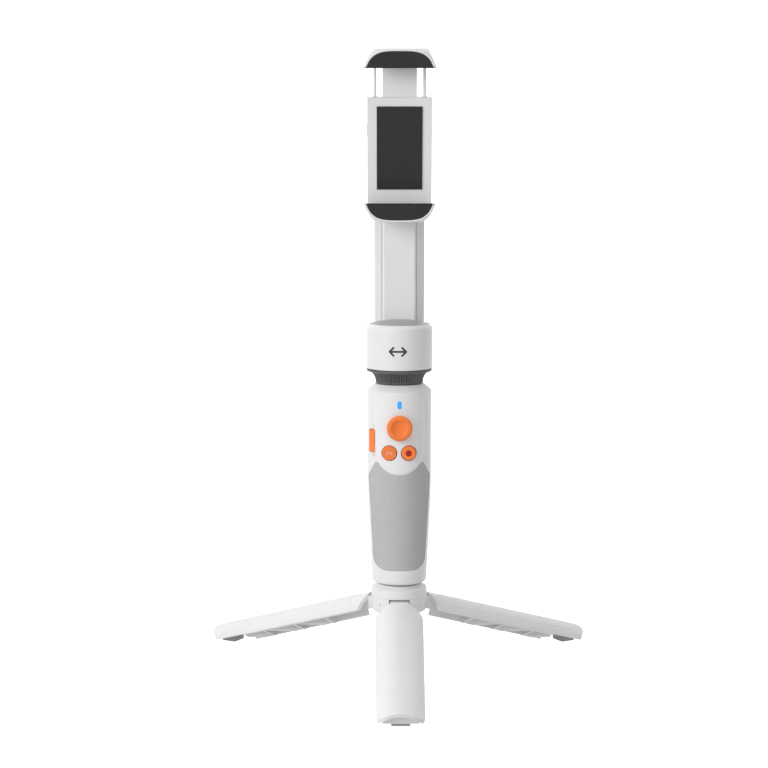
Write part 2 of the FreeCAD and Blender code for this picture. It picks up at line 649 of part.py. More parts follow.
def stator(name, low, high):
    """A stator core: a ring with teeth, built along Z."""
    core = tube(f"{name}_ring", D["BearingRadius"], D["CoreRadius"], low, high)
    teeth = []
    for number in range(int(D["ToothCount"].value)):
        tooth = box(f"{name}_tooth", (D["CoreRadius"] - 1, -0.8, low), (D["ToothRadius"] - 0.8, 0.8, high))
        turn_about_z(tooth, 360 / D["ToothCount"].value * number)
        tip = box(f"{name}_tip", (D["ToothRadius"] - 1.0, -2.4, low), (D["ToothRadius"], 2.4, high))
        turn_about_z(tip, 360 / D["ToothCount"].value * number)
        teeth += [tooth, tip]
    return fused(name, core, *teeth)


def windings(name, low, high):
    """One copper coil round each tooth of the stator."""
    coils = []
    for number in range(int(D["ToothCount"].value)):
        block = box(f"{name}_block", (D["CoreRadius"] + 1.6, -1.75, low - 1.1),
                    (D["ToothRadius"] - 1.1, 1.75, high + 1.1))
        gap = box(f"{name}_gap", (D["CoreRadius"] - 1, -0.85, low - 0.05),
                  (D["ToothRadius"], 0.85, high + 0.05))
        coil = cut(f"{name}_coil", block, gap)
        turn_about_z(coil, 360 / D["ToothCount"].value * number)
        coils.append(coil)
    return group(name, *coils)


def bearings(name, heights):
    """Two flanged rings between the shaft and the stator's bore."""
    inner, outer = D["ShaftRadius"] + 0.05, D["BearingRadius"]
    rings = [tube(f"{name}_ring", inner, outer, low, low + 2) for low in heights]
    return group(name, *rings)


def pan_motor():
    """The knurled base with the stator, and the housing with the magnets and shaft."""
    low, top, neck = D["BaseBottom"], D["BaseTop"], D["BaseNeck"]
    rim, well, plug = D["MotorRadius"] - 0.2, D["BearingRadius"] + 0.6, 4.65
    base = [(plug, low), (neck, low), (neck, low + 0.8, -9.0), (rim, top - 1.2), (rim, top), (15.2, top),
            (15.2, top - 0.9), (neck - 1.6, low + 2.2), (8, low + 2.2), (8, top + 1.0), (well, top + 1.0),
            (well, low + 3.2), (plug, low + 3.2)]
    node("knurled_base", turned("knurled_base", base))
    core_low, core_high = top + 2.5, top + 13.0
    seat = tube("pan_stator_seat", well, 6.4, top + 1.0, core_low)
    node("pan_stator", fused("pan_stator_all", stator("pan_stator_core", core_low, core_high), seat))
    node("pan_windings", windings("pan_windings", core_low, core_high))
    node("pan_bearings", bearings("pan_bearings", (core_low + 0.4, core_high - 2.4)))
    radius, cap = D["MotorRadius"], D["CapRadius"]
    under, over, wall, roof = D["MotorBottom"], D["MotorTop"], 1.7, D["MotorTop"] - 2.2
    cap_edge, cap_seat = D["CapEdge"], D["CapEdge"] - 1.4
    housing = [(radius - wall, under), (radius, under), (radius, over - 0.3), (cap + 0.2, cap_edge - 0.2),
               (cap, cap_edge - 0.2), (cap, cap_seat), (0, cap_seat), (0, roof), (radius - wall, roof)]
    blank = turned("pan_housing_blank", housing)
    foot = box("pan_housing_foot", (-D["MastHalf"] - 0.01, D["MastFront"], over - 0.4),
               (D["MastHalf"] + 0.01, 20, D["CapTop"] + 1))
    node("pan_housing", cut("pan_housing", blank, foot))
    magnets = tube("pan_magnets", D["ToothRadius"] + 0.7, radius - wall, core_low - 0.5, core_high + 0.5)
    node("pan_magnets", magnets)
    node("pan_shaft", rod("pan_shaft", D["ShaftRadius"], roof - top - 2.6, (0, 0, top + 2.6)))
    dome = turned("pan_cap_blank", [(0, cap_seat), (cap, cap_seat), (cap, cap_edge, 72.0), (0, D["CapTop"])])
    notch = box("pan_cap_notch", (-D["MastHalf"] - 0.01, D["MastFront"], cap_edge - 3),
                (D["MastHalf"] + 0.01, 20, D["CapTop"] + 1))
    node("pan_top_cap", cut("pan_top_cap", dome, notch))


def mast():
    """The T-shaped guide that stands on the pan motor: a raised front face and two rear rails."""
    front, neck, back = D["MastFront"], D["MastNeck"], D["MastBack"]
    half, rail = D["MastHalf"], D["RailHalf"]
    outline = [(-half, front + 1), (-half + 1, front), (half - 1, front), (half, front + 1), (half, neck),
               (rail, neck), (rail, back), (-rail, back), (-rail, neck), (-half, neck)]
    floor = D["MotorTop"]
    column = prism("mast_column", "XY", outline, floor - 0.4, D["MastTop"] - floor + 0.4)
    clear = rod("mast_clear", D["MotorRadius"] + 0.01, 3.1, (0, 0, floor - 1.5))
    wings = [box("mast_wing", (-rail - 1, neck - 0.01, floor - 1), (-half, back + 1, D["CapTop"] + 0.3)),
             box("mast_wing", (half, neck - 0.01, floor - 1), (rail + 1, back + 1, D["CapTop"] + 0.3))]
    foot = box("mast_foot_box", (-rail - 1, 0, floor - 1), (rail + 1, 25, floor + 1.6))
    below = cut("mast_foot_ring", foot, clear)
    node("mast", cut("mast", column, *wings, below))


def arm():
    """The channel that slides on the mast's rails, with the roll motor's cup on its upper end."""
    half, front, inner, back = D["ArmHalf"], D["ArmFront"], D["ArmInner"], D["ArmBack"]
    lip, rail = D["MastHalf"] + 0.25, D["RailHalf"] + 0.2
    low, high, axis = D["ArmBottom"], D["RollHeight"] - 12, D["RollHeight"]
    outline = [(-half, front + 0.8), (-half + 0.8, front), (-lip, front), (-lip, D["MastNeck"] - 0.15),
               (-rail, D["MastNeck"] - 0.15), (-rail, inner), (rail, inner), (rail, D["MastNeck"] - 0.15),
               (lip, D["MastNeck"] - 0.15), (lip, front), (half - 0.8, front), (half, front + 0.8),
               (half, back), (-half, back)]
    channel = prism("arm_channel", "XY", outline, low, high - low)
    radius, wall, deep = D["RollRadius"], 1.7, 10.5
    cup = turned("arm_cup", [(0, 0), (radius - 1.0, 0), (radius, 1.0), (radius, deep), (radius - wall, deep),
                             (radius - wall, wall), (0, wall)])
    stand(cup, (0, D["RollBack"], axis), BACK_TO_FRONT)
    hollow = rod("arm_cup_hollow", radius - wall, 30, (0, D["RollBack"] - wall - 30, axis), Y_AXIS)
    room = rod("arm_cup_front", radius + 3, 30, (0, D["RollSplit"] - 29.7, axis), Y_AXIS)
    node("arm", cut("arm", fused("arm_all", channel, cup), hollow, room))
    plate = box("arm_cover_plate", (-half + 1.2, back, low + 2), (half - 1.2, back + 1.6, axis - 8))
    disc = rod("arm_cover_room", D["RollRadius"] + 0.2, 6, (0, D["RollBack"] - 3, axis), Y_AXIS)
    node("arm_rear_cover", cut("arm_rear_cover", plate, disc))


def roll_motor():
    """Stator and coils in the arm's cup; rotor, magnets and shaft in front of them."""
    axis, back = D["RollHeight"], D["RollBack"]
    spot, aim = (0, back, axis), BACK_TO_FRONT
    core_low, core_high = 3.2, 7.2
    seat = tube("roll_stator_seat", D["BearingRadius"], 6.4, 1.7, core_low)
    core = stator("roll_stator_core", core_low, core_high)
    node("roll_stator", fused("roll_stator_all", core, seat), spot, aim)
    node("roll_windings", windings("roll_windings", core_low, core_high), spot, aim)
    node("roll_bearings", bearings("roll_bearings", (2.0, 5.2)), spot, aim)
    plate_low, plate_high = back - D["RollSplit"] + 0.3, back - D["RollFront"]
    rotor = [(0, plate_low), (D["RollRadius"] - 0.5, plate_low), (D["RollRadius"] - 0.5, plate_high - 1.2),
             (D["RollRadius"] - 1.7, plate_high), (0, plate_high)]
    node("roll_rotor", turned("roll_rotor", rotor), spot, aim)
    ring = tube("roll_magnets", D["ToothRadius"] + 0.7, D["RollRadius"] - 2.2, core_low - 0.4, plate_low)
    node("roll_magnets", ring, spot, aim)
    node("roll_shaft", tube("roll_shaft", 0.8, D["ShaftRadius"], 2.0, plate_low), spot, aim)


# ---------------------------------------------------------------- clamp
# The clamp is drawn upright round its tilt pin, with the pin along X at the origin, and is then
# leaned forward by the tilt angle.


def clamp_node(label, obj):
    node(label, carry(obj, X_AXIS, D["TiltAngle"], (0, D["TiltDepth"], D["RollHeight"])))


def jaw_outline(sign, growth):
    """The jaw's face: wide at the lip, with large rounded corners towards its flat outer edge."""
    lip = D["ClampGap"] / 2 - D["LipReach"]
    edge = D["ClampGap"] / 2 + D["JawHeight"] - growth
    half, flat = D["JawHalf"] - growth, D["JawFlat"]
    bend, arch, drop = 7.0, 160.0, 0.3
    shoulder, lean = edge - 4.3, 2.8
    return [(-half, sign * lip), (-half + lean, sign * shoulder, -sign * bend),
            (-flat, sign * (edge - drop), -sign * arch), (flat, sign * (edge - drop), -sign * bend),
            (half - lean, sign * shoulder), (half, sign * lip)]


def jaw_hook(name, sign):
    """A hooked jaw: lip in front, shelf over the phone's edge and a short back wall."""
    front = D["ClampFront"] + D["PhoneDepth"] + 0.6 + D["LipThick"]
    inner = D["ClampGap"] / 2
    blank = prism(f"{name}_blank", "XZ", jaw_outline(sign, 0), -D["ClampRear"], front - D["ClampRear"])
    low, high = (inner - 30, inner) if sign > 0 else (-inner, -inner + 30)
    slot = box(f"{name}_slot", (-30, -front + D["LipThick"], low), (30, 10, high))
    return blank, slot


def jaw_pad(name, sign):
    """The rubber of one jaw: the lip's dark face and the strip that the phone's edge rests on."""
    front = D["ClampFront"] + D["PhoneDepth"] + 0.6 + D["LipThick"]
    inner = D["ClampGap"] / 2
    lip = prism(f"{name}_lip", "XZ", jaw_outline(sign, D["JawRim"]), -front + 1.6, 1.9)
    low, high = (inner, inner + 1.2) if sign > 0 else (-inner - 1.2, -inner)
    strip = box(f"{name}_strip", (-15.5, -front + 1.0, low), (15.5, -D["ClampFront"] + 0.6, high))
    return fused(name, lip, strip)


def clamp_fixed():
    """The clamp's body with the lower jaw, its cover, face pad, lower rubber and tilt pin."""
    half, front, rear, top = D["ClampHalf"], D["ClampFront"], D["ClampRear"], D["ClampBodyTop"]
    inner = D["ClampGap"] / 2
    body = box("clamp_body_block", (-half, -front, -inner - 1), (half, -rear, top))
    hook, slot = jaw_hook("lower_jaw", -1)
    knuckle = rod("clamp_knuckle", 3.0, 10, (-5, 0, 0), X_AXIS)
    root_block = box("clamp_knuckle_root", (-5, -rear - 0.5, -3), (5, 0, 3))
    channel = box("clamp_channel", (-9.3, -6.4, -21), (9.3, -4.2, top + 5))
    bores = [rod("clamp_spring_bore", 1.75, 44, (side * 13, -5.5, -24), Z_AXIS) for side in (-1, 1)]
    bore = rod("clamp_pin_bore", 1.22, 30, (-15, 0, 0), X_AXIS)
    jaw = cut("lower_jaw_hook", hook, slot)
    whole = fused("clamp_body_all", body, jaw, knuckle, root_block)
    room = jaw_pad("lower_pad_room", -1)
    clamp_node("clamp_body", cut("clamp_body", whole, channel, *bores, bore, room))
    plate = box("clamp_cover_plate", (-14, -rear, -30), (14, -rear + 1, 14))
    gap = box("clamp_cover_gap", (-8.6, -rear - 1, -4.4), (8.6, -rear + 3, 4.4))
    clamp_node("clamp_rear_cover", cut("clamp_rear_cover", plate, gap))
    clamp_node("clamp_face_pad", box("clamp_face_pad", (-12, -front - 0.6, -30), (12, -front, 14)))
    clamp_node("lower_jaw_pad", jaw_pad("lower_jaw_pad", -1))
    clamp_node("tilt_pin", rod("tilt_pin", 1.2, 17, (-8.5, 0, 0), X_AXIS))


def clamp_moving():
    """The sliding upper jaw with its tongue and rubber, and the two springs that pull it down."""
    inner = D["ClampGap"] / 2
    hook, slot = jaw_hook("upper_jaw", 1)
    tongue = box("upper_jaw_tongue", (-9, -6.2, -0.4), (9, -4.4, inner + 2))
    lip_top = inner + D["JawHeight"]
    fall = box("upper_jaw_fall", (-25, 0, 0), (25, 40, 8))
    carry(fall, X_AXIS, -D["JawFall"], (0, -D["ClampFront"] - D["PhoneDepth"] - 2.0, lip_top))
    jaw = cut("upper_jaw_hook", hook, slot, jaw_pad("upper_pad_room", 1), fall)
    pins = [rod("upper_jaw_rod", 0.8, 26, (side * 13, -5.5, inner - 25), Z_AXIS) for side in (-1, 1)]
    clamp_node("upper_jaw", fused("upper_jaw", jaw, tongue, *pins))
    clamp_node("upper_jaw_pad", jaw_pad("upper_jaw_pad", 1))
    coils = []
    for side in (-1, 1):
        helix = Part.makeHelix(3.2, 36.0, 1.35)
        section = Part.Wire([Part.makeCircle(0.22, FreeCAD.Vector(1.35, 0, 0), AXES[Y_AXIS])])
        coil = Part.Wire(helix.Edges).makePipeShell([section], True, True)
        coil.translate(FreeCAD.Vector(side * 13, -5.5, -23.5))
        coils.append(coil)
    springs = doc.addObject("Part::Feature", "clamp_springs")
    springs.Shape = Part.makeCompound(coils)
    clamp_node("clamp_springs", springs)


def tilt_bracket():
    """The fork on the roll motor's rotor that holds the clamp's tilt pin."""
    depth, axis, face = D["TiltDepth"], D["RollHeight"], D["RollFront"]
    plate = rod("bracket_plate", 9.5, 1.2, (0, face - 1.2, axis), Y_AXIS)
    parts = [plate]
    for low, high in ((-8.4, -5.3), (5.3, 8.4)):
        parts.append(rod("bracket_ear", 3.0, high - low, (low, depth, axis), X_AXIS))
        parts.append(box("bracket_arm", (low, depth, axis - 3), (high, face - 1.0, axis + 3)))
    bore = rod("bracket_bore", 1.2, 30, (-15, depth, axis), X_AXIS)
    node("tilt_bracket", cut("tilt_bracket", fused("bracket_all", *parts), bore))


def check_and_write():
    """Stop on any failed object, then write each sub-part to its own file."""
    doc.recompute()
    failed = [obj.Label for obj in doc.Objects
              if any(word in state for state in obj.State for word in ("Invalid", "Error"))]
    if failed:
        raise RuntimeError(f"these objects failed: {failed}")
    os.makedirs("parts", exist_ok=True)
    for obj in nodes:
        shape = obj.Shape
        if shape.isNull() or not shape.isValid() or not shape.Solids:
            raise RuntimeError(f"{obj.Label} has no valid solid")
        shape.exportStep(f"parts/{obj.Label}.step")
        bounds = shape.BoundBox
        print(f"{obj.Label}: {len(shape.Solids)} solids, {shape.Volume:.0f} mm3, "
              f"Z {bounds.ZMin:.2f} to {bounds.ZMax:.2f}")
    print(len(nodes), "sub-parts")


tripod()
handle_shells()
front_pieces()
handle_inside()
controls()
rod_stages()
pan_motor()
mast()
arm()
roll_motor()
tilt_bracket()
clamp_fixed()
clamp_moving()
check_and_write()
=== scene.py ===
# %% [markdown]
# # A phone gimbal on its table tripod
# The gimbal is a slim handle with a motor on top, a sliding arm, a second motor and a sprung phone
# clamp. The engineering model already exists and is loaded as a frame, with every part in its place
# and every joint named. This lesson dresses that frame: thin moulded skins, soft rubber, a knurled
# ring and small orange controls, each as its own mesh that rides on the body it belongs to.

# %% Load the frame
import json
import math

import bmesh
import bpy
import numpy as np
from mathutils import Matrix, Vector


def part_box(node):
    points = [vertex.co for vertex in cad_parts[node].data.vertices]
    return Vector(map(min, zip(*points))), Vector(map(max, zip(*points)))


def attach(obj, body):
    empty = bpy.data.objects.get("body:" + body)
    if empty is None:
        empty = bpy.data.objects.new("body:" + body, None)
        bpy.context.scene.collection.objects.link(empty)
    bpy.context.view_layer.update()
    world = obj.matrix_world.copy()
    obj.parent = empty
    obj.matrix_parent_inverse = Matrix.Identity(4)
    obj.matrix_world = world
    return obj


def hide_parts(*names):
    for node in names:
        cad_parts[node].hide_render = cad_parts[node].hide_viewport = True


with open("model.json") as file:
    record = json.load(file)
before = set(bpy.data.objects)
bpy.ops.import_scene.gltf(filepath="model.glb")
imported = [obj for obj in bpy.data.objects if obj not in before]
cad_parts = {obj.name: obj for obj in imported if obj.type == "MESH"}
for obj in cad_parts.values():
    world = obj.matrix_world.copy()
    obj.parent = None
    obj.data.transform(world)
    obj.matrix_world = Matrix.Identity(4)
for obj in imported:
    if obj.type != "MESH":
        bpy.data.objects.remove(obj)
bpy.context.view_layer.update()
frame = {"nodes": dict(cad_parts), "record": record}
bodies = frame["record"]["behaviour"]["bodies"]
body_of = {node: body for body, nodes in bodies.items() for node in nodes}
MM = 0.001
print("bodies:", len(bodies), "nodes:", len(body_of))

# %% [markdown]
# Shader maths reads best as ordinary expressions, so a small class wraps one output socket and turns
# +, -, * and / into Math nodes. One more method, `node`, makes any other node from its type, its
# settings and what its inputs are linked to. A number that is the same all over a surface is set
# straight on the shader instead, because a linked constant is lost when the model is exported.

# %% A small language for shader maths
class Flow:
    """One output socket of a node tree, with the arithmetic operators as Math nodes."""

    def __init__(self, tree, socket):
        self.tree = tree
        self.socket = socket

    def node(self, kind, settings=None, links=None, output=0):
        """Any node: settings first, then values or Flow links on its inputs."""
        made = self.tree.nodes.new(kind)
        for name, value in (settings or {}).items():
            setattr(made, name, value)
        for name, value in (links or {}).items():
            if isinstance(value, Flow):
                self.tree.links.new(value.socket, made.inputs[name])
            else:
                made.inputs[name].default_value = value
        return Flow(self.tree, made.outputs[output])

    def math(self, operation, first, second=0.0):
        return self.node("ShaderNodeMath", {"operation": operation}, {0: first, 1: second})

    def __add__(self, other):
        return self.math("ADD", self, other)

    def __radd__(self, other):
        return self.math("ADD", other, self)

    def __sub__(self, other):
        return self.math("SUBTRACT", self, other)

    def __rsub__(self, other):
        return self.math("SUBTRACT", other, self)

    def __mul__(self, other):
        return self.math("MULTIPLY", self, other)

    def __rmul__(self, other):
        return self.math("MULTIPLY", other, self)

    def __truediv__(self, other):
        return self.math("DIVIDE", self, other)

    def ramp(self, low, high):
        """0 below low, 1 above high and a smooth slope between."""
        links = {"Value": self, "From Min": low, "From Max": high}
        return self.node("ShaderNodeMapRange", {"interpolation_type": "SMOOTHSTEP"}, links)

    def mix(self, first, second):
        """Blend two colours, using this flow as the factor."""
        settings = {"data_type": "RGBA"}
        return self.node("ShaderNodeMix", settings, {0: self, 6: first, 7: second}, output=2)


FINISHES = {}


def start_material(name):
    """An empty material with its Principled shader and the object's own coordinates."""
    material = bpy.data.materials.new(f"{name}_finish")
    FINISHES[name] = material
    material.use_nodes = True
    tree = material.node_tree
    shader = tree.nodes["Principled BSDF"]
    place = Flow(tree, tree.nodes.new("ShaderNodeTexCoord").outputs["Object"])
    return material, shader, place


def noise(place, scale, detail=3.0):
    """Cloudy noise; scale is in ripples per metre."""
    links = {"Vector": place, "Scale": scale, "Detail": detail}
    return place.node("ShaderNodeTexNoise", {}, links)


def cells(place, scale):
    """Distance from the middle of random cells, for grain and pebbled rubber."""
    return place.node("ShaderNodeTexVoronoi", {"feature": "F1"}, {"Vector": place, "Scale": scale})


def link(shader, name, flow):
    """Feed one input of the shader."""
    flow.tree.links.new(flow.socket, shader.inputs[name])


def bump(shader, height, strength, distance):
    """Raise the surface by a height pattern; distance is in metres."""
    links = {"Height": height, "Strength": strength, "Distance": distance}
    link(shader, "Normal", height.node("ShaderNodeBump", {}, links))


# %% [markdown]
# Moulded plastic is never one flat colour. The mould leaves a fine spark texture, the colour drifts by
# a percent or two, and handling polishes some areas more than others. One function makes all the
# moulded finishes of this gimbal; only colour, gloss and grain size change between them.

# %% Moulded plastics
def moulded(name, colour, roughness, grain=5200.0, depth=0.00001, drift=0.03, specular=0.45, coat=0.0):
    """Colour times a slow drift; roughness plus a cloudy wear; a fine grain in the bump."""
    material, shader, place = start_material(name)
    wear = noise(place, 55.0)
    darker = [part * (1 - drift) for part in colour] + [1.0]
    link(shader, "Base Color", wear.ramp(0.3, 0.7).mix(darker, [*colour, 1.0]))
    link(shader, "Roughness", roughness + (wear - 0.5) * 0.16 + (noise(place, 900.0) - 0.5) * 0.06)
    grit = noise(place, grain, 2.0)
    bump(shader, grit, 0.35, depth)
    shader.inputs["Specular IOR Level"].default_value = specular
    shader.inputs["Coat Weight"].default_value = coat
    shader.inputs["Coat Roughness"].default_value = 0.2
    return material


moulded("white_shell", (0.83, 0.83, 0.833), 0.42)
moulded("panel_white", (0.85, 0.85, 0.853), 0.38, grain=3800.0)
moulded("motor_white", (0.83, 0.83, 0.833), 0.40)
# The cap's grey is painted shade: the cap is the same white plastic as the can, and its flat top is darker
# only because the light comes mostly from the front.
moulded("cap_grey", (0.36, 0.37, 0.37), 0.36, drift=0.06)
moulded("orange_key", (1.0, 0.24, 0.05), 0.55, grain=4200.0, drift=0.06, specular=0.25)
moulded("record_red", (0.36, 0.010, 0.014), 0.5, drift=0.1, specular=0.25)
moulded("black_plastic", (0.02, 0.02, 0.02), 0.5, drift=0.2)
moulded("dark_knurl", (0.10, 0.10, 0.102), 0.48, drift=0.12)
moulded("battery_wrap", (0.03, 0.09, 0.30), 0.35, drift=0.15, coat=0.3)
print("plastics ready")


# %% [markdown]
# Rubber scatters light widely, so its roughness is high and its gloss low. The grip pad on the
# handle has a fine leathery pebble that stops a thumb from slipping, and the clamp's lips have a
# tighter grain. Both come from cell patterns: the bump rises in the middle of each cell.

# %% Rubbers
def rubber(name, colour, pebble, depth, roughness=0.72, drift=0.08):
    """Pebbled skin: two sizes of cells raise the bump, and the colour follows the same height, with painted
    shade in the hollows and painted light on the tops.
    """
    material, shader, place = start_material(name)
    coarse = cells(place, pebble)
    fine = cells(place, pebble * 2.3)
    height = 1.0 - (coarse * 0.65 + fine * 0.35)
    # Painted shade and light: the colour is darker in the hollows between pebbles and lighter on their tops,
    # following the bump height.
    darker = [part * (1 - 2 * drift) for part in colour] + [1.0]
    lighter = [min(part * (1 + drift), 1.0) for part in colour] + [1.0]
    link(shader, "Base Color", height.ramp(0.35, 0.85).mix(darker, lighter))
    link(shader, "Roughness", roughness + (noise(place, 70.0) - 0.5) * 0.18)
    bump(shader, height, 0.7, depth)
    shader.inputs["Specular IOR Level"].default_value = 0.3
    return material


rubber("soft_grip", (0.54, 0.54, 0.54), 1500.0, 0.00003, drift=0.05)
rubber("jaw_rubber", (0.020, 0.020, 0.022), 1300.0, 0.00005, roughness=0.66, drift=0.2)
rubber("foot_rubber", (0.40, 0.40, 0.40), 1100.0, 0.00005)
print("rubbers ready")


# %% [markdown]
# The metal inside and on the telescopic rod is turned or drawn, so its fine marks run round the axis.
# Squeezing a noise pattern along one direction with a Mapping node gives those marks cheaply.

# %% Metals and the inner parts
def metal(name, colour, roughness, stretch=(1.0, 1.0, 30.0)):
    """Fine drawn marks: noise squeezed along one axis moves roughness and bump."""
    material, shader, place = start_material(name)
    drawn = place.node("ShaderNodeMapping", {}, {"Vector": place, "Scale": stretch})
    marks = noise(drawn, 420.0, 4.0)
    darker = [part * 0.88 for part in colour] + [1.0]
    link(shader, "Base Color", marks.ramp(0.3, 0.7).mix(darker, [*colour, 1.0]))
    link(shader, "Roughness", roughness + (marks - 0.5) * 0.22)
    bump(shader, marks, 0.25, 0.00001)
    shader.inputs["Metallic"].default_value = 1.0
    return material


metal("steel", (0.56, 0.56, 0.58), 0.30)
metal("rod_alloy", (0.34, 0.345, 0.355), 0.34)
metal("brass_socket", (0.78, 0.55, 0.24), 0.32)
metal("copper_coil", (0.74, 0.33, 0.16), 0.36, (30.0, 30.0, 1.0))
metal("magnet", (0.34, 0.34, 0.36), 0.26)
metal("core_steel", (0.22, 0.22, 0.24), 0.5, (1.0, 1.0, 60.0))


def circuit(name):
    """Green solder mask with darker copper lanes below it."""
    material, shader, place = start_material(name)
    lanes = cells(place, 600.0).ramp(0.35, 0.5)
    link(shader, "Base Color", lanes.mix([0.015, 0.13, 0.05, 1.0], [0.03, 0.24, 0.09, 1.0]))
    link(shader, "Roughness", 0.35 + lanes * 0.1)
    bump(shader, lanes, 0.4, 0.00003)
    return material


def lamp(name):
    """A small lit window: an even blue glow, faintly clouded, over dark blue plastic."""
    material, shader, place = start_material(name)
    glow = noise(place, 300.0)
    link(shader, "Base Color", glow.mix([0.0, 0.02, 0.08, 1.0], [0.0, 0.04, 0.12, 1.0]))
    link(shader, "Emission Color", glow.mix([0.0, 0.30, 0.90, 1.0], [0.0, 0.36, 1.0, 1.0]))
    shader.inputs["Emission Strength"].default_value = 1.0
    shader.inputs["Roughness"].default_value = 0.25
    return material


circuit("board")
lamp("light_blue")
print("metals and inner parts ready")

# %% [markdown]
# Every carried-over part now takes the finish that its material slot asks for. The slot names in the
# record and the materials above are the same words, so a dictionary joins them.

# %% Dress every part of the frame
slot_of = {row["node"]: row["material_slot"] for row in frame["record"]["subparts"]}
for part_name, part in frame["nodes"].items():
    part.data.materials.clear()
    part.data.materials.append(FINISHES[slot_of[part_name]])
print("dressed", len(slot_of), "parts")


# %% [markdown]
# A real moulding has no knife edge: every corner has a small radius that catches a line of light.
# The frame's parts come with sharp corners. A copy of a part is merged into one skin, its flat
# areas are joined up, and a Bevel modifier rounds each sharp edge.

# %% Rounded copies
def add_piece(name, mesh, node, finish=None, replace=True):
    """Put a finished mesh into the scene as the visible form of a node."""
    piece = bpy.data.objects.new(name, mesh)
    bpy.context.scene.collection.objects.link(piece)
    if not mesh.materials:
        mesh.materials.append(finish or FINISHES[slot_of[node]])
    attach(piece, body_of[node])
    if replace:
        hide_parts(node)
    return piece


def smooth_by_angle(mesh, degrees=32.0):
    """Smooth shading, except across edges sharper than degrees."""
    mesh.shade_smooth()
    mesh.set_sharp_from_angle(angle=math.radians(degrees))


def rounded_copy(node, radius, segments=3, degrees=32.0):
    """The node's own shape with every edge sharper than degrees rounded to radius."""
    mesh = frame["nodes"][node].data.copy()
    mesh.name = f"{node}_rounded"
    skin = bmesh.new()
    skin.from_mesh(mesh)
    bmesh.ops.remove_doubles(skin, verts=skin.verts, dist=2e-6)
    bmesh.ops.dissolve_limit(skin, angle_limit=math.radians(0.4), verts=skin.verts, edges=skin.edges)
    skin.to_mesh(mesh)
    skin.free()
    smooth_by_angle(mesh, degrees)
    piece = add_piece(f"{node}_skin", mesh, node)
    edge = piece.modifiers.new("edge", "BEVEL")
    edge.width = radius
    edge.segments = segments
    edge.limit_method = "ANGLE"
    edge.angle_limit = math.radians(degrees)
    edge.use_clamp_overlap = True
    edge.harden_normals = True


EDGE_RADII = {
    "leg_front": 0.45, "leg_left": 0.45, "leg_right": 0.45, "tripod_hub": 0.3, "tripod_collar": 0.35,
    "handle_front_shell": 0.12, "handle_rear_shell": 0.12, "control_panel": 0.12, "arm": 0.35,
    "arm_rear_cover": 0.3, "mast": 0.3, "clamp_body": 0.45, "upper_jaw": 0.55, "roll_rotor": 0.3,
    "tilt_bracket": 0.3, "zoom_rocker": 1.0, "clamp_rear_cover": 0.25, "foot_pad_front": 0.3,
    "foot_pad_left": 0.3, "foot_pad_right": 0.3, "clamp_face_pad": 0.2, "upper_jaw_pad": 0.3,
    "lower_jaw_pad": 0.3, "mode_button": 0.25, "record_button": 0.2,
}
for part_name, radius_mm in EDGE_RADII.items():
    rounded_copy(part_name, radius_mm * MM)
print("rounded", len(EDGE_RADII), "parts")

# %% [markdown]
# The remaining pieces are surfaces worked out from a formula. Each is a grid of points, a function of
# two parameters, computed as whole arrays. `grid_mesh` joins neighbouring points into four-sided faces.
# Where a line of the grid shrinks to a single point, as at the middle of a disc, the doubled points are
# merged, and the faces are then turned to look outwards.

# %% Grids
def grid_mesh(name, points, closed_rows=False, closed_columns=False):
    """Points has the shape (rows, columns, 3); face (i, j) joins point (i, j) with its next neighbours."""
    rows, columns = points.shape[:2]
    number = np.arange(rows * columns).reshape(rows, columns)
    if closed_rows:
        number = np.concatenate([number, number[:1]], axis=0)
    if closed_columns:
        number = np.concatenate([number, number[:, :1]], axis=1)
    corners = [number[:-1, :-1], number[1:, :-1], number[1:, 1:], number[:-1, 1:]]
    faces = np.stack([corner.ravel() for corner in corners], axis=1)
    mesh = bpy.data.meshes.new(name)
    mesh.from_pydata(points.reshape(-1, 3).tolist(), [], faces.tolist())
    skin = bmesh.new()
    skin.from_mesh(mesh)
    bmesh.ops.remove_doubles(skin, verts=skin.verts, dist=1e-7)
    bmesh.ops.recalc_face_normals(skin, faces=skin.faces)
    skin.to_mesh(mesh)
    skin.free()
    smooth_by_angle(mesh)
    return mesh


def rounded_line(corners, radii, steps=6):
    """A line through corners, each corner replaced by a smooth bend: the point at fraction t of a bend
    is the blend (1-t)^2 A + 2t(1-t) B + t^2 C of a point A before it, the corner B and a point C after."""
    corners = np.asarray(corners, float)
    t = np.linspace(0.0, 1.0, steps)[:, None]
    line = [corners[:1]]
    for before, corner, after, radius in zip(corners, corners[1:], corners[2:], radii):
        reach = [min(radius, np.linalg.norm(end - corner) / 2) for end in (before, after)]
        first = corner + (before - corner) * reach[0] / np.linalg.norm(before - corner)
        last = corner + (after - corner) * reach[1] / np.linalg.norm(after - corner)
        line.append((1 - t) ** 2 * first + 2 * t * (1 - t) * corner + t ** 2 * last)
    line.append(corners[-1:])
    return np.concatenate(line)


def lathe(name, profile, count, centre, along, ripple=None):
    """A profile of (radius, height) pairs turned about a line through centre.
    Point (i, j) is centre + height_j along + radius_j (cos a_i across + sin a_i up), a_i = 2 pi i / count.
    ripple, when given, returns what to add to the radius for each angle and height."""
    angle = np.arange(count) * 2 * math.pi / count
    radius, height = np.broadcast_to(profile[:, 0], (count, len(profile))), profile[:, 1]
    if ripple is not None:
        radius = radius + ripple(angle[:, None], profile[None, :, 0], profile[None, :, 1])
    along = np.asarray(along, float)
    across = np.array([1.0, 0.0, 0.0])
    up = np.cross(along, across)
    spin = np.cos(angle)[:, None, None] * across + np.sin(angle)[:, None, None] * up
    points = np.asarray(centre, float) + radius[:, :, None] * spin + height[None, :, None] * along
    return grid_mesh(name, points * MM, closed_rows=True)


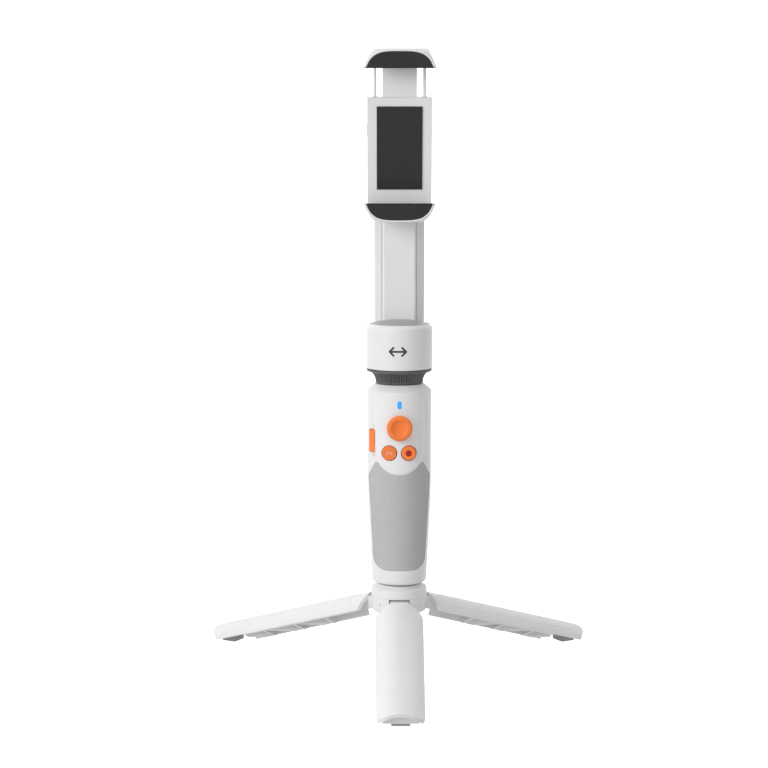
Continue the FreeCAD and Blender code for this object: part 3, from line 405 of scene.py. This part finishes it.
def box_mm(node):
    """The node's corners in millimetres, as two arrays."""
    low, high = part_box(node)
    return np.array(low) / MM, np.array(high) / MM


UP, FORWARD = (0.0, 0.0, 1.0), (0.0, -1.0, 0.0)
print("grid tools ready")

# %% [markdown]
# Under the motor sits a dark ring that a hand turns against. Its side is a concave flare with fine
# upright ribs, and a plain lip closes its top. The flare is a quarter of an ellipse, and the ribs are
# a cosine wave round the axis that fades out towards the lip and the foot.

# %% Ribbed ring
lip_radius = box_mm("knurled_base")[1][0]
neck_radius = 12.7
ring_low, ring_high = 155.3, 163.0
RIB_COUNT, RIB_DEPTH = 60, 0.75
quarter = np.linspace(0.0, math.pi / 2, 22)
flare = np.stack([neck_radius + (lip_radius - neck_radius) * (1 - np.cos(quarter)) ** 0.9,
                  ring_low + 0.9 + (ring_high - ring_low - 2.1) * np.sin(quarter)], axis=1)
ring_profile = np.concatenate([
    [(4.7, ring_low), (neck_radius - 0.5, ring_low), (neck_radius, ring_low + 0.35)], flare,
    [(lip_radius, ring_high - 0.9), (lip_radius, ring_high - 0.15), (lip_radius - 0.2, ring_high),
     (15.2, ring_high), (15.2, ring_high - 0.9), (11.1, ring_low + 2.2), (8.0, ring_low + 2.2),
     (8.0, ring_high + 1.0), (4.8, ring_high + 1.0), (4.8, ring_low + 3.2), (4.7, ring_low + 3.2)]])


def ribs(angle, radius, height):
    """-RIB_DEPTH (1 + cos(RIB_COUNT angle)) / 2, on the flare only."""
    inside = np.clip((height - ring_low - 0.6) / 0.7, 0, 1) * np.clip((ring_high - 1.5 - height) / 0.8, 0, 1)
    outer = radius > neck_radius - 0.6
    return -RIB_DEPTH * (0.5 + 0.5 * np.cos(RIB_COUNT * angle)) * inside * outer


ring_mesh = lathe("ribbed_ring", ring_profile, 480, (0, 0, 0), UP, ribs)
add_piece("ribbed_ring", ring_mesh, "knurled_base")
print("ribbed ring:", len(ring_mesh.polygons), "faces")

# %% [markdown]
# The motor housing is a thin white can with a broad chamfer round its top, and the cap lies in its mouth
# with a hairline gap. The cap is the same white plastic, and its grey finish is painted shade for its flat
# top, lit mostly from the front. Corners of a moulded can are never sharp, so each corner of the profile is
# replaced by a small bend.

# %% Motor housing and cap
low, high = box_mm("pan_housing")
can_radius, can_low, can_top = high[0], low[2], high[2]
mouth = 15.5
can_profile = rounded_line(
    [(can_radius - 1.7, can_low + 6), (can_radius - 1.7, can_low), (can_radius, can_low),
     (can_radius, can_top - 1.85), (mouth + 0.25, can_top + 0.1), (mouth, can_top - 1.2), (0, can_top - 1.2),
     (0, can_top - 1.9), (can_radius - 1.7, can_top - 1.9), (can_radius - 1.7, can_low + 6)],
    [0.2, 0.45, 0.7, 0.3, 0.1, 0, 0, 0.1])
can_mesh = lathe("motor_can", can_profile, 160, (0, 0, 0), UP)
add_piece("motor_can", can_mesh, "pan_housing")

low, high = box_mm("pan_top_cap")
cap_edge, cap_top = high[2] - 1.7, high[2]
across = np.linspace(1.0, 0.0, 14)
dome = np.stack([across * (mouth - 0.45), cap_edge + (cap_top - cap_edge) * (1 - across ** 2)], axis=1)
cap_profile = np.concatenate([[(0, low[2]), (mouth - 0.2, low[2]), (mouth - 0.2, cap_edge - 0.25)], dome])
cap_mesh = lathe("motor_cap", cap_profile, 160, (0, 0, 0), UP)
# The cap takes the cap_grey finish, whose grey is painted shade on white plastic.
add_piece("motor_cap", cap_mesh, "pan_top_cap")
print("motor housing and cap:", len(can_mesh.polygons) + len(cap_mesh.polygons), "faces")

# %% [markdown]
# The thumb stick is a mushroom: a stem, a cone under the rim, a sloping ring on top and a shallow dish
# for the thumb inside a crisp circle. It is turned about the line that points out of the panel.

# %% Thumb stick
stick_low, stick_high = box_mm("joystick_cap")
stick_radius, stick_face = stick_high[0], -stick_low[1]
stick_height = (stick_low[2] + stick_high[2]) / 2
dish = np.linspace(1.0, 0.0, 12)
dish_line = np.stack([4.05 * dish, stick_face - 1.55 + 1.0 * dish ** 2], axis=1)
stick_line = np.concatenate([
    rounded_line([(0, 11.0), (1.3, 11.0), (1.4, 14.6), (2.6, 16.0), (3.2, 18.9),
                  (stick_radius - 0.15, stick_face - 1.75), (stick_radius, stick_face - 1.0),
                  (stick_radius - 0.75, stick_face - 0.05), (4.35, stick_face - 0.1),
                  (4.1, stick_face - 0.5)],
                 [0.1, 0.2, 0.6, 0.8, 0.3, 0.8, 0.9, 0.3]), dish_line])
stick_mesh = lathe("thumb_stick", stick_line, 128, (0, 0, stick_height), FORWARD)
add_piece("thumb_stick", stick_mesh, "joystick_cap")
print("thumb stick:", len(stick_mesh.polygons), "faces")

# %% [markdown]
# The panel stands a little above the handle, and a sloping rim leads from its face down to the grip.
# The rim is a strip carried round the panel's outline: one side lies on the panel's cylinder, and the
# other on the handle's. A U shape is two straight sides joined by half a circle.

# %% Rim round the control panel
panel_low, panel_high = box_mm("control_panel")
panel_half = panel_high[0]
panel_bend = panel_low[2] + panel_half


def u_outline(growth, straight=24, round_steps=48):
    """Across and height of a U grown outwards: down the left side, round the foot, up the right."""
    turn = np.linspace(math.pi, 2 * math.pi, round_steps)
    side = np.linspace(panel_high[2], panel_bend, straight)[:-1]
    radius = panel_half + growth
    x = np.concatenate([np.full(straight - 1, -radius), radius * np.cos(turn), np.full(straight - 1, radius)])
    z = np.concatenate([side, panel_bend + radius * np.sin(turn), side[::-1]])
    return x, z


rim_section = [(-0.5, 17.0), (-0.5, 17.49), (-0.3, 17.53), (0.0, 17.47), (0.9, 17.17), (1.15, 17.0),
               (1.15, 16.6)]
rim_lines = []
for growth, radius in rim_section:
    x, z = u_outline(growth)
    rim_lines.append(np.stack([x, -np.sqrt(radius ** 2 - x ** 2), z], axis=1))
rim_mesh = grid_mesh("panel_rim", np.stack(rim_lines) * MM, closed_rows=True)
add_piece("panel_rim", rim_mesh, "control_panel", replace=False)
print("panel rim:", len(rim_mesh.polygons), "faces")

# %% [markdown]
# Each jaw of the clamp ends in a bowl-shaped lip. The lip's white edge is a rounded bead: a small
# circle carried along the bowl's outline. It stands a little in front of the dark rubber inside it,
# and its two ends are closed by domes, where the circle shrinks to a point.

# %% Beads on the clamp's lips
CLAMP_LEAN, LIP_FRONT, FACE_FRONT, FACE_THICKNESS = 10.0, -18.75, -19.45, 0.3
BOWL_CORNERS = [(-18.0, 35.6), (-15.5, 41.1), (-9.6, 44.7), (9.6, 44.7), (15.5, 41.1), (18.0, 35.6)]
BOWL = rounded_line(BOWL_CORNERS, [8.0, 7.0, 7.0, 8.0], 16)
joint_of = {joint["name"]: joint for joint in frame["record"]["behaviour"]["joints"]}
tilt_line = np.array(joint_of["clamp_tilt"]["pos_m"]) / MM


def lean(points):
    """Turn points given round the tilt pin by the clamp's lean, and carry them to the pin."""
    angle = math.radians(CLAMP_LEAN)
    y = points[..., 1] * math.cos(angle) - points[..., 2] * math.sin(angle)
    z = points[..., 1] * math.sin(angle) + points[..., 2] * math.cos(angle)
    return np.stack([points[..., 0], y, z], axis=-1) + tilt_line


def lip_face(name, sign_up, rows=40):
    """Dark face inside the bead: at each height z the half-width is that of the bowl's outline, and u
    runs from one side to the other."""
    right = BOWL[BOWL[:, 0] >= 0][::-1]
    z = np.linspace(right[0, 1] + 0.15, right[-1, 1] - 0.02, rows)
    half = np.interp(z, right[:, 1], right[:, 0])
    u = np.linspace(-1.0, 1.0, 25)
    x = half[:, None] * u[None, :]
    heights = np.broadcast_to(sign_up * z[:, None], x.shape)
    points = np.stack([x, np.full_like(x, FACE_FRONT), heights], axis=-1)
    return grid_mesh(name, lean(points) * MM)


def bead(name, sign_up, radius=0.95, around=16):
    """Circle carried along the bowl's outline: path + r (cos b side + sin b forward). Within one radius
    of an end, at a fraction t of it, r is radius sqrt(1 - (1 - t)^2), so both ends are domes."""
    runs = np.linalg.norm(np.diff(BOWL, axis=0), axis=1)
    travel = np.concatenate([[0.0], np.cumsum(runs)])
    cap = radius * (1 - np.cos(np.linspace(0, math.pi / 2, 7)))
    s = np.concatenate([cap, np.linspace(radius, travel[-1] - radius, 90)[1:-1], travel[-1] - cap[::-1]])
    x, z = np.interp(s, travel, BOWL[:, 0]), np.interp(s, travel, BOWL[:, 1])
    left = np.clip(np.minimum(s, travel[-1] - s) / radius, 0, 1)
    size = radius * np.sqrt(1 - (1 - left) ** 2)
    along = np.stack([np.gradient(x, s), np.gradient(z, s)], axis=1)
    along /= np.linalg.norm(along, axis=1)[:, None]
    turn = np.arange(around) * 2 * math.pi / around
    swell, depth = size[:, None] * np.cos(turn), size[:, None] * np.sin(turn)
    points = np.stack([x[:, None] - along[:, 1:] * swell, LIP_FRONT - depth,
                       sign_up * (z[:, None] + along[:, :1] * swell)], axis=-1)
    return grid_mesh(name, lean(points) * MM, closed_columns=True)


add_piece("lower_lip_bead", bead("lower_lip_bead", -1), "clamp_body", replace=False)
add_piece("upper_lip_bead", bead("upper_lip_bead", 1), "upper_jaw", replace=False)
for face, node, sign_up in (("lower_lip_face", "lower_jaw_pad", -1), ("upper_lip_face", "upper_jaw_pad", 1)):
    piece = add_piece(face, lip_face(face, sign_up), node, replace=False)
    solid = piece.modifiers.new("thickness", "SOLIDIFY")
    solid.thickness = FACE_THICKNESS * MM
    solid.offset = 0.0
print("lip beads ready")

# %% [markdown]
# Small printed signs help a hand find its key: an M on the mode button, T and W beside the zoom key,
# and a plain two-headed arrow on the motor that shows how it turns. Each sign is a few strokes with
# round ends, drawn flat and then bent onto the surface that carries it.

# %% Printed signs
def stroke_grid(start, end, half, steps=18, wide=5):
    """A stroke with round ends. s runs from -half to length + half, and the half-width at s is half in
    the straight part and sqrt(half^2 - d^2) at a distance d past an end."""
    start, end = np.array(start, float), np.array(end, float)
    length = np.linalg.norm(end - start)
    line = (end - start) / length
    end_cap = -half * np.cos(np.linspace(0, math.pi / 2, steps // 3))
    s = np.concatenate([end_cap, np.linspace(0, length, steps // 3)[1:-1], length - end_cap[::-1]])
    past = np.maximum(np.maximum(-s, s - length), 0.0)
    width = np.sqrt(np.maximum(half ** 2 - past ** 2, 0.0))
    side = np.linspace(-1.0, 1.0, wide)
    normal = np.array([-line[1], line[0]])
    return start + s[:, None, None] * line + (width[:, None] * side[None, :])[:, :, None] * normal


def on_cylinder(radius, azimuth, height):
    """Bend flat (across, up) onto an upright cylinder: across becomes an angle of across / radius."""
    def place(flat):
        angle = flat[..., 0] / radius + math.radians(azimuth)
        return np.stack([radius * np.sin(angle), -radius * np.cos(angle), height + flat[..., 1]], axis=-1)
    return place


def on_face(x, depth, height):
    """Stand flat (across, up) upright at a depth, facing forward."""
    def place(flat):
        return np.stack([x + flat[..., 0], np.full(flat.shape[:-1], depth), height + flat[..., 1]], axis=-1)
    return place


def sign(name, strokes, half, place, node, finish, thickness=0.14):
    """All strokes of one sign as one mesh, given a thickness by Solidify."""
    meshes = [grid_mesh(name, place(stroke_grid(*stroke, half)) * MM) for stroke in strokes]
    skin = bmesh.new()
    for mesh in meshes:
        skin.from_mesh(mesh)
    joined = bpy.data.meshes.new(name)
    skin.to_mesh(joined)
    skin.free()
    joined.materials.append(finish)
    piece = add_piece(name, joined, node, replace=False)
    solid = piece.modifiers.new("thickness", "SOLIDIFY")
    solid.thickness = thickness * MM
    solid.offset = 0.0


sign_grey = moulded("sign_grey", (0.03, 0.03, 0.032), 0.5, drift=0.2)
sign_pink = moulded("sign_pink", (0.92, 0.55, 0.46), 0.5)
ARROW = [((-4.4, 0), (4.4, 0)), ((-4.4, 0), (-2.3, 2.1)), ((-4.4, 0), (-2.3, -2.1)),
         ((4.4, 0), (2.3, 2.1)), ((4.4, 0), (2.3, -2.1))]
LETTER_M = [((-1.3, -1.35), (-1.15, 1.35)), ((-1.15, 1.35), (0, -0.95)), ((0, -0.95), (1.15, 1.35)),
            ((1.15, 1.35), (1.3, -1.35))]
LETTER_T = [((-0.5, 0.7), (0.5, 0.7)), ((0, 0.7), (0, -0.7))]
LETTER_W = [((-0.7, 0.6), (-0.35, -0.6)), ((-0.35, -0.6), (0, 0.3)), ((0, 0.3), (0.35, -0.6)),
            ((0.35, -0.6), (0.7, 0.6))]
key_low, key_high = box_mm("mode_button")
key_x, key_z = (key_low[0] + key_high[0]) / 2, (key_low[2] + key_high[2]) / 2
rocker_low, rocker_high = box_mm("zoom_rocker")
HANDLE_SKIN, ROCKER_AZIMUTH, LETTER_GAP, ARROW_AZIMUTH, ARROW_HEIGHT = 17.12, -53.0, 1.6, -3.0, 173.6
above_rocker = on_cylinder(HANDLE_SKIN, ROCKER_AZIMUTH, rocker_high[2] + LETTER_GAP)
below_rocker = on_cylinder(HANDLE_SKIN, ROCKER_AZIMUTH, rocker_low[2] - LETTER_GAP)
round_motor = on_cylinder(can_radius, ARROW_AZIMUTH, ARROW_HEIGHT)
sign("turn_arrows", ARROW, 0.52, round_motor, "pan_housing", sign_grey)
sign("mode_letter", LETTER_M, 0.15, on_face(key_x, key_low[1], key_z), "mode_button", sign_pink)
sign("tele_letter", LETTER_T, 0.13, above_rocker, "handle_front_shell", sign_pink)
sign("wide_letter", LETTER_W, 0.12, below_rocker, "handle_front_shell", sign_pink)
print("signs ready")

# %% [markdown]
# The outer face of each leg is a gentle arch. A raised panel runs along it, parallel to the edges, and
# three shallow grooves near the foot give a finger something to pull on. The panel is one height
# field: how far each point stands above the arch depends on how near it is to the panel's own edge.

# %% Raised panels on the legs
LEG_SLOPE, LEG_ARCH = 17.1, 14.37
PANEL_FROM, PANEL_TO, PANEL_CORNER = 16.0, 107.5, 6.0
PANEL_HALF_AT_HINGE, PANEL_NARROWING, PANEL_THICKNESS = 10.4, 0.9, 0.5
RIM_LIFT, PANEL_RISE, RIM_SLOPE = -0.25, 0.8, 0.6
GROOVES, GROOVE_DEPTH, GROOVE_WIDTH, GROOVE_HALF = np.array([89.0, 93.6, 98.2]), 0.7, 0.45, 5.6
hinge = np.array(joint_of["front_leg_fold"]["pos_m"]) / MM


def leg_face(x, reach, lift):
    """Where (x across, reach from the hinge, lift above the arch) lies on the front leg: a point of the
    arch hanging straight down, swung up about the hinge to the leg's slope."""
    deep = -np.sqrt((LEG_ARCH + lift) ** 2 - x ** 2) - hinge[1]
    swing = math.radians(LEG_SLOPE - 90)
    y = hinge[1] + deep * math.cos(swing) + reach * math.sin(swing)
    z = hinge[2] + deep * math.sin(swing) - reach * math.cos(swing)
    return np.stack([x, y, z], axis=-1)


def leg_panel():
    """lift goes from RIM_LIFT at the rim to RIM_LIFT + PANEL_RISE inside, over RIM_SLOPE; the foot end's
    corners are quarter circles, and each groove takes away GROOVE_DEPTH exp(-(distance / width)^2)."""
    fine = (GROOVES[:, None] + np.linspace(-1.4, 1.4, 15)).ravel()
    reach = np.sort(np.concatenate([np.linspace(PANEL_FROM, PANEL_TO, 96), fine]))
    half = PANEL_HALF_AT_HINGE - PANEL_NARROWING * (reach - PANEL_FROM) / (PANEL_TO - PANEL_FROM)
    past = np.clip(reach - (PANEL_TO - PANEL_CORNER), 0, PANEL_CORNER)
    half = half - PANEL_CORNER + np.sqrt(PANEL_CORNER ** 2 - past ** 2 + 1e-9)
    side = np.sin(np.linspace(-1, 1, 41) * math.pi / 2)
    x = half[:, None] * side[None, :]
    to_side = half[:, None] - np.abs(x)
    to_end = np.minimum(reach - PANEL_FROM, PANEL_TO - reach)[:, None]
    edge = np.clip(np.minimum(to_side, to_end) / RIM_SLOPE, 0, 1)
    lift = RIM_LIFT + PANEL_RISE * edge * edge * (3 - 2 * edge)
    near = np.exp(-((reach[:, None] - GROOVES[None, :]) / GROOVE_WIDTH) ** 2).sum(axis=1)
    band = np.clip((GROOVE_HALF - np.abs(x)) / 0.8, 0, 1)
    lift = lift - GROOVE_DEPTH * near[:, None] * band
    return leg_face(x, np.broadcast_to(reach[:, None], x.shape), lift)


front_panel = leg_panel()
for side, turn in (("front", 0.0), ("right", 120.0), ("left", 240.0)):
    cosine, sine = math.cos(math.radians(turn)), math.sin(math.radians(turn))
    spin = np.array([[cosine, -sine, 0.0], [sine, cosine, 0.0], [0.0, 0.0, 1.0]])
    mesh = grid_mesh(f"leg_panel_{side}", front_panel @ spin.T * MM)
    panel = add_piece(f"leg_panel_{side}", mesh, f"leg_{side}", replace=False)
    solid = panel.modifiers.new("thickness", "SOLIDIFY")
    solid.thickness = PANEL_THICKNESS * MM
    solid.offset = -1.0
print("leg panels ready")

# %% [markdown]
# The picture is taken like a catalogue shot, with a long lens at about the clamp's height, tipped down
# by seven degrees.

# %% Camera
lens = bpy.data.cameras.new("camera")
lens.sensor_width = 36.0
lens.lens = 92.1
lens.clip_start, lens.clip_end = 0.05, 50.0
camera = bpy.data.objects.new("camera", lens)
camera.location = (-0.0082, -1.045, 0.286)
camera.rotation_euler = (math.radians(90.0 - 7.18), 0.0, 0.0)
bpy.context.scene.collection.objects.link(camera)
bpy.context.scene.camera = camera
print("camera ready")

# %% [markdown]
# The gimbal stands on a glowing white sweep, so the backdrop is even. The glow would also whiten the
# undersides of the legs, so the floor is hidden from diffuse rays. A big soft panel at the front left
# gives the white plastic its shape, because its right-hand sides then fall into a light grey.

# %% Floor and light
def stage_sheet(width=9.0, front=-4.0, back=2.2, height=4.0, bend=0.9, steps=24):
    """A studio sweep: flat floor, a quarter circle, then a wall, extruded along X."""
    angle = np.linspace(0.0, math.pi / 2, steps)
    curve_y = np.concatenate([[front], back - bend + bend * np.sin(angle), [back]])
    curve_z = np.concatenate([[0.0], bend - bend * np.cos(angle), [height]])
    side = np.array([-width / 2, width / 2])
    grid = np.stack(np.broadcast_arrays(side[:, None], curve_y[None, :], curve_z[None, :]), axis=-1)
    count = grid.shape[1]
    mesh = bpy.data.meshes.new("floor")
    low = np.arange(count - 1)
    faces = np.stack([low, low + count, low + count + 1, low + 1], axis=1)
    mesh.from_pydata(grid.reshape(-1, 3).tolist(), [], faces.tolist())
    mesh.shade_smooth()
    return mesh


def paper():
    """Seamless white paper: faint mottling under an even glow."""
    material, shader, place = start_material("paper")
    mottle = noise(place, 6.0)
    link(shader, "Base Color", mottle.mix([0.86, 0.86, 0.86, 1.0], [0.88, 0.88, 0.88, 1.0]))
    link(shader, "Emission Color", mottle.mix([0.99, 0.99, 0.99, 1.0], [1.0, 1.0, 1.0, 1.0]))
    shader.inputs["Emission Strength"].default_value = 0.92
    shader.inputs["Roughness"].default_value = 0.9
    shader.inputs["Specular IOR Level"].default_value = 0.1
    return material


floor = bpy.data.objects.new("floor", stage_sheet())
floor.visible_diffuse = False
floor.data.materials.append(paper())
bpy.context.scene.collection.objects.link(floor)


def soft_panel(name, spot, target, size, power):
    """A square studio light that faces the target point."""
    data = bpy.data.lights.new(name, "AREA")
    data.shape = "SQUARE"
    data.size = size
    data.energy = power
    panel = bpy.data.objects.new(name, data)
    panel.location = spot
    aim = Vector(target) - Vector(spot)
    panel.rotation_euler = aim.to_track_quat("-Z", "Y").to_euler()
    bpy.context.scene.collection.objects.link(panel)


middle = (0.0, 0.0, 0.17)
soft_panel("key", (-1.7, -1.3, 1.0), middle, 1.2, 27.0)
soft_panel("front", (0.2, -2.3, 0.9), middle, 1.4, 6.5)
soft_panel("top", (0.0, 0.2, 2.2), middle, 1.8, 6.0)
soft_panel("back_left", (-1.3, 1.1, 0.9), middle, 1.0, 2.0)
soft_panel("back_right", (1.3, 1.1, 0.9), middle, 1.0, 1.0)
world = bpy.data.worlds.new("studio")
world.use_nodes = True
background = world.node_tree.nodes["Background"]
background.inputs["Color"].default_value = (1.0, 1.0, 1.0, 1.0)
background.inputs["Strength"].default_value = 0.46
bpy.context.scene.world = world
bpy.context.scene.view_settings.view_transform = "Standard"
print("studio ready")
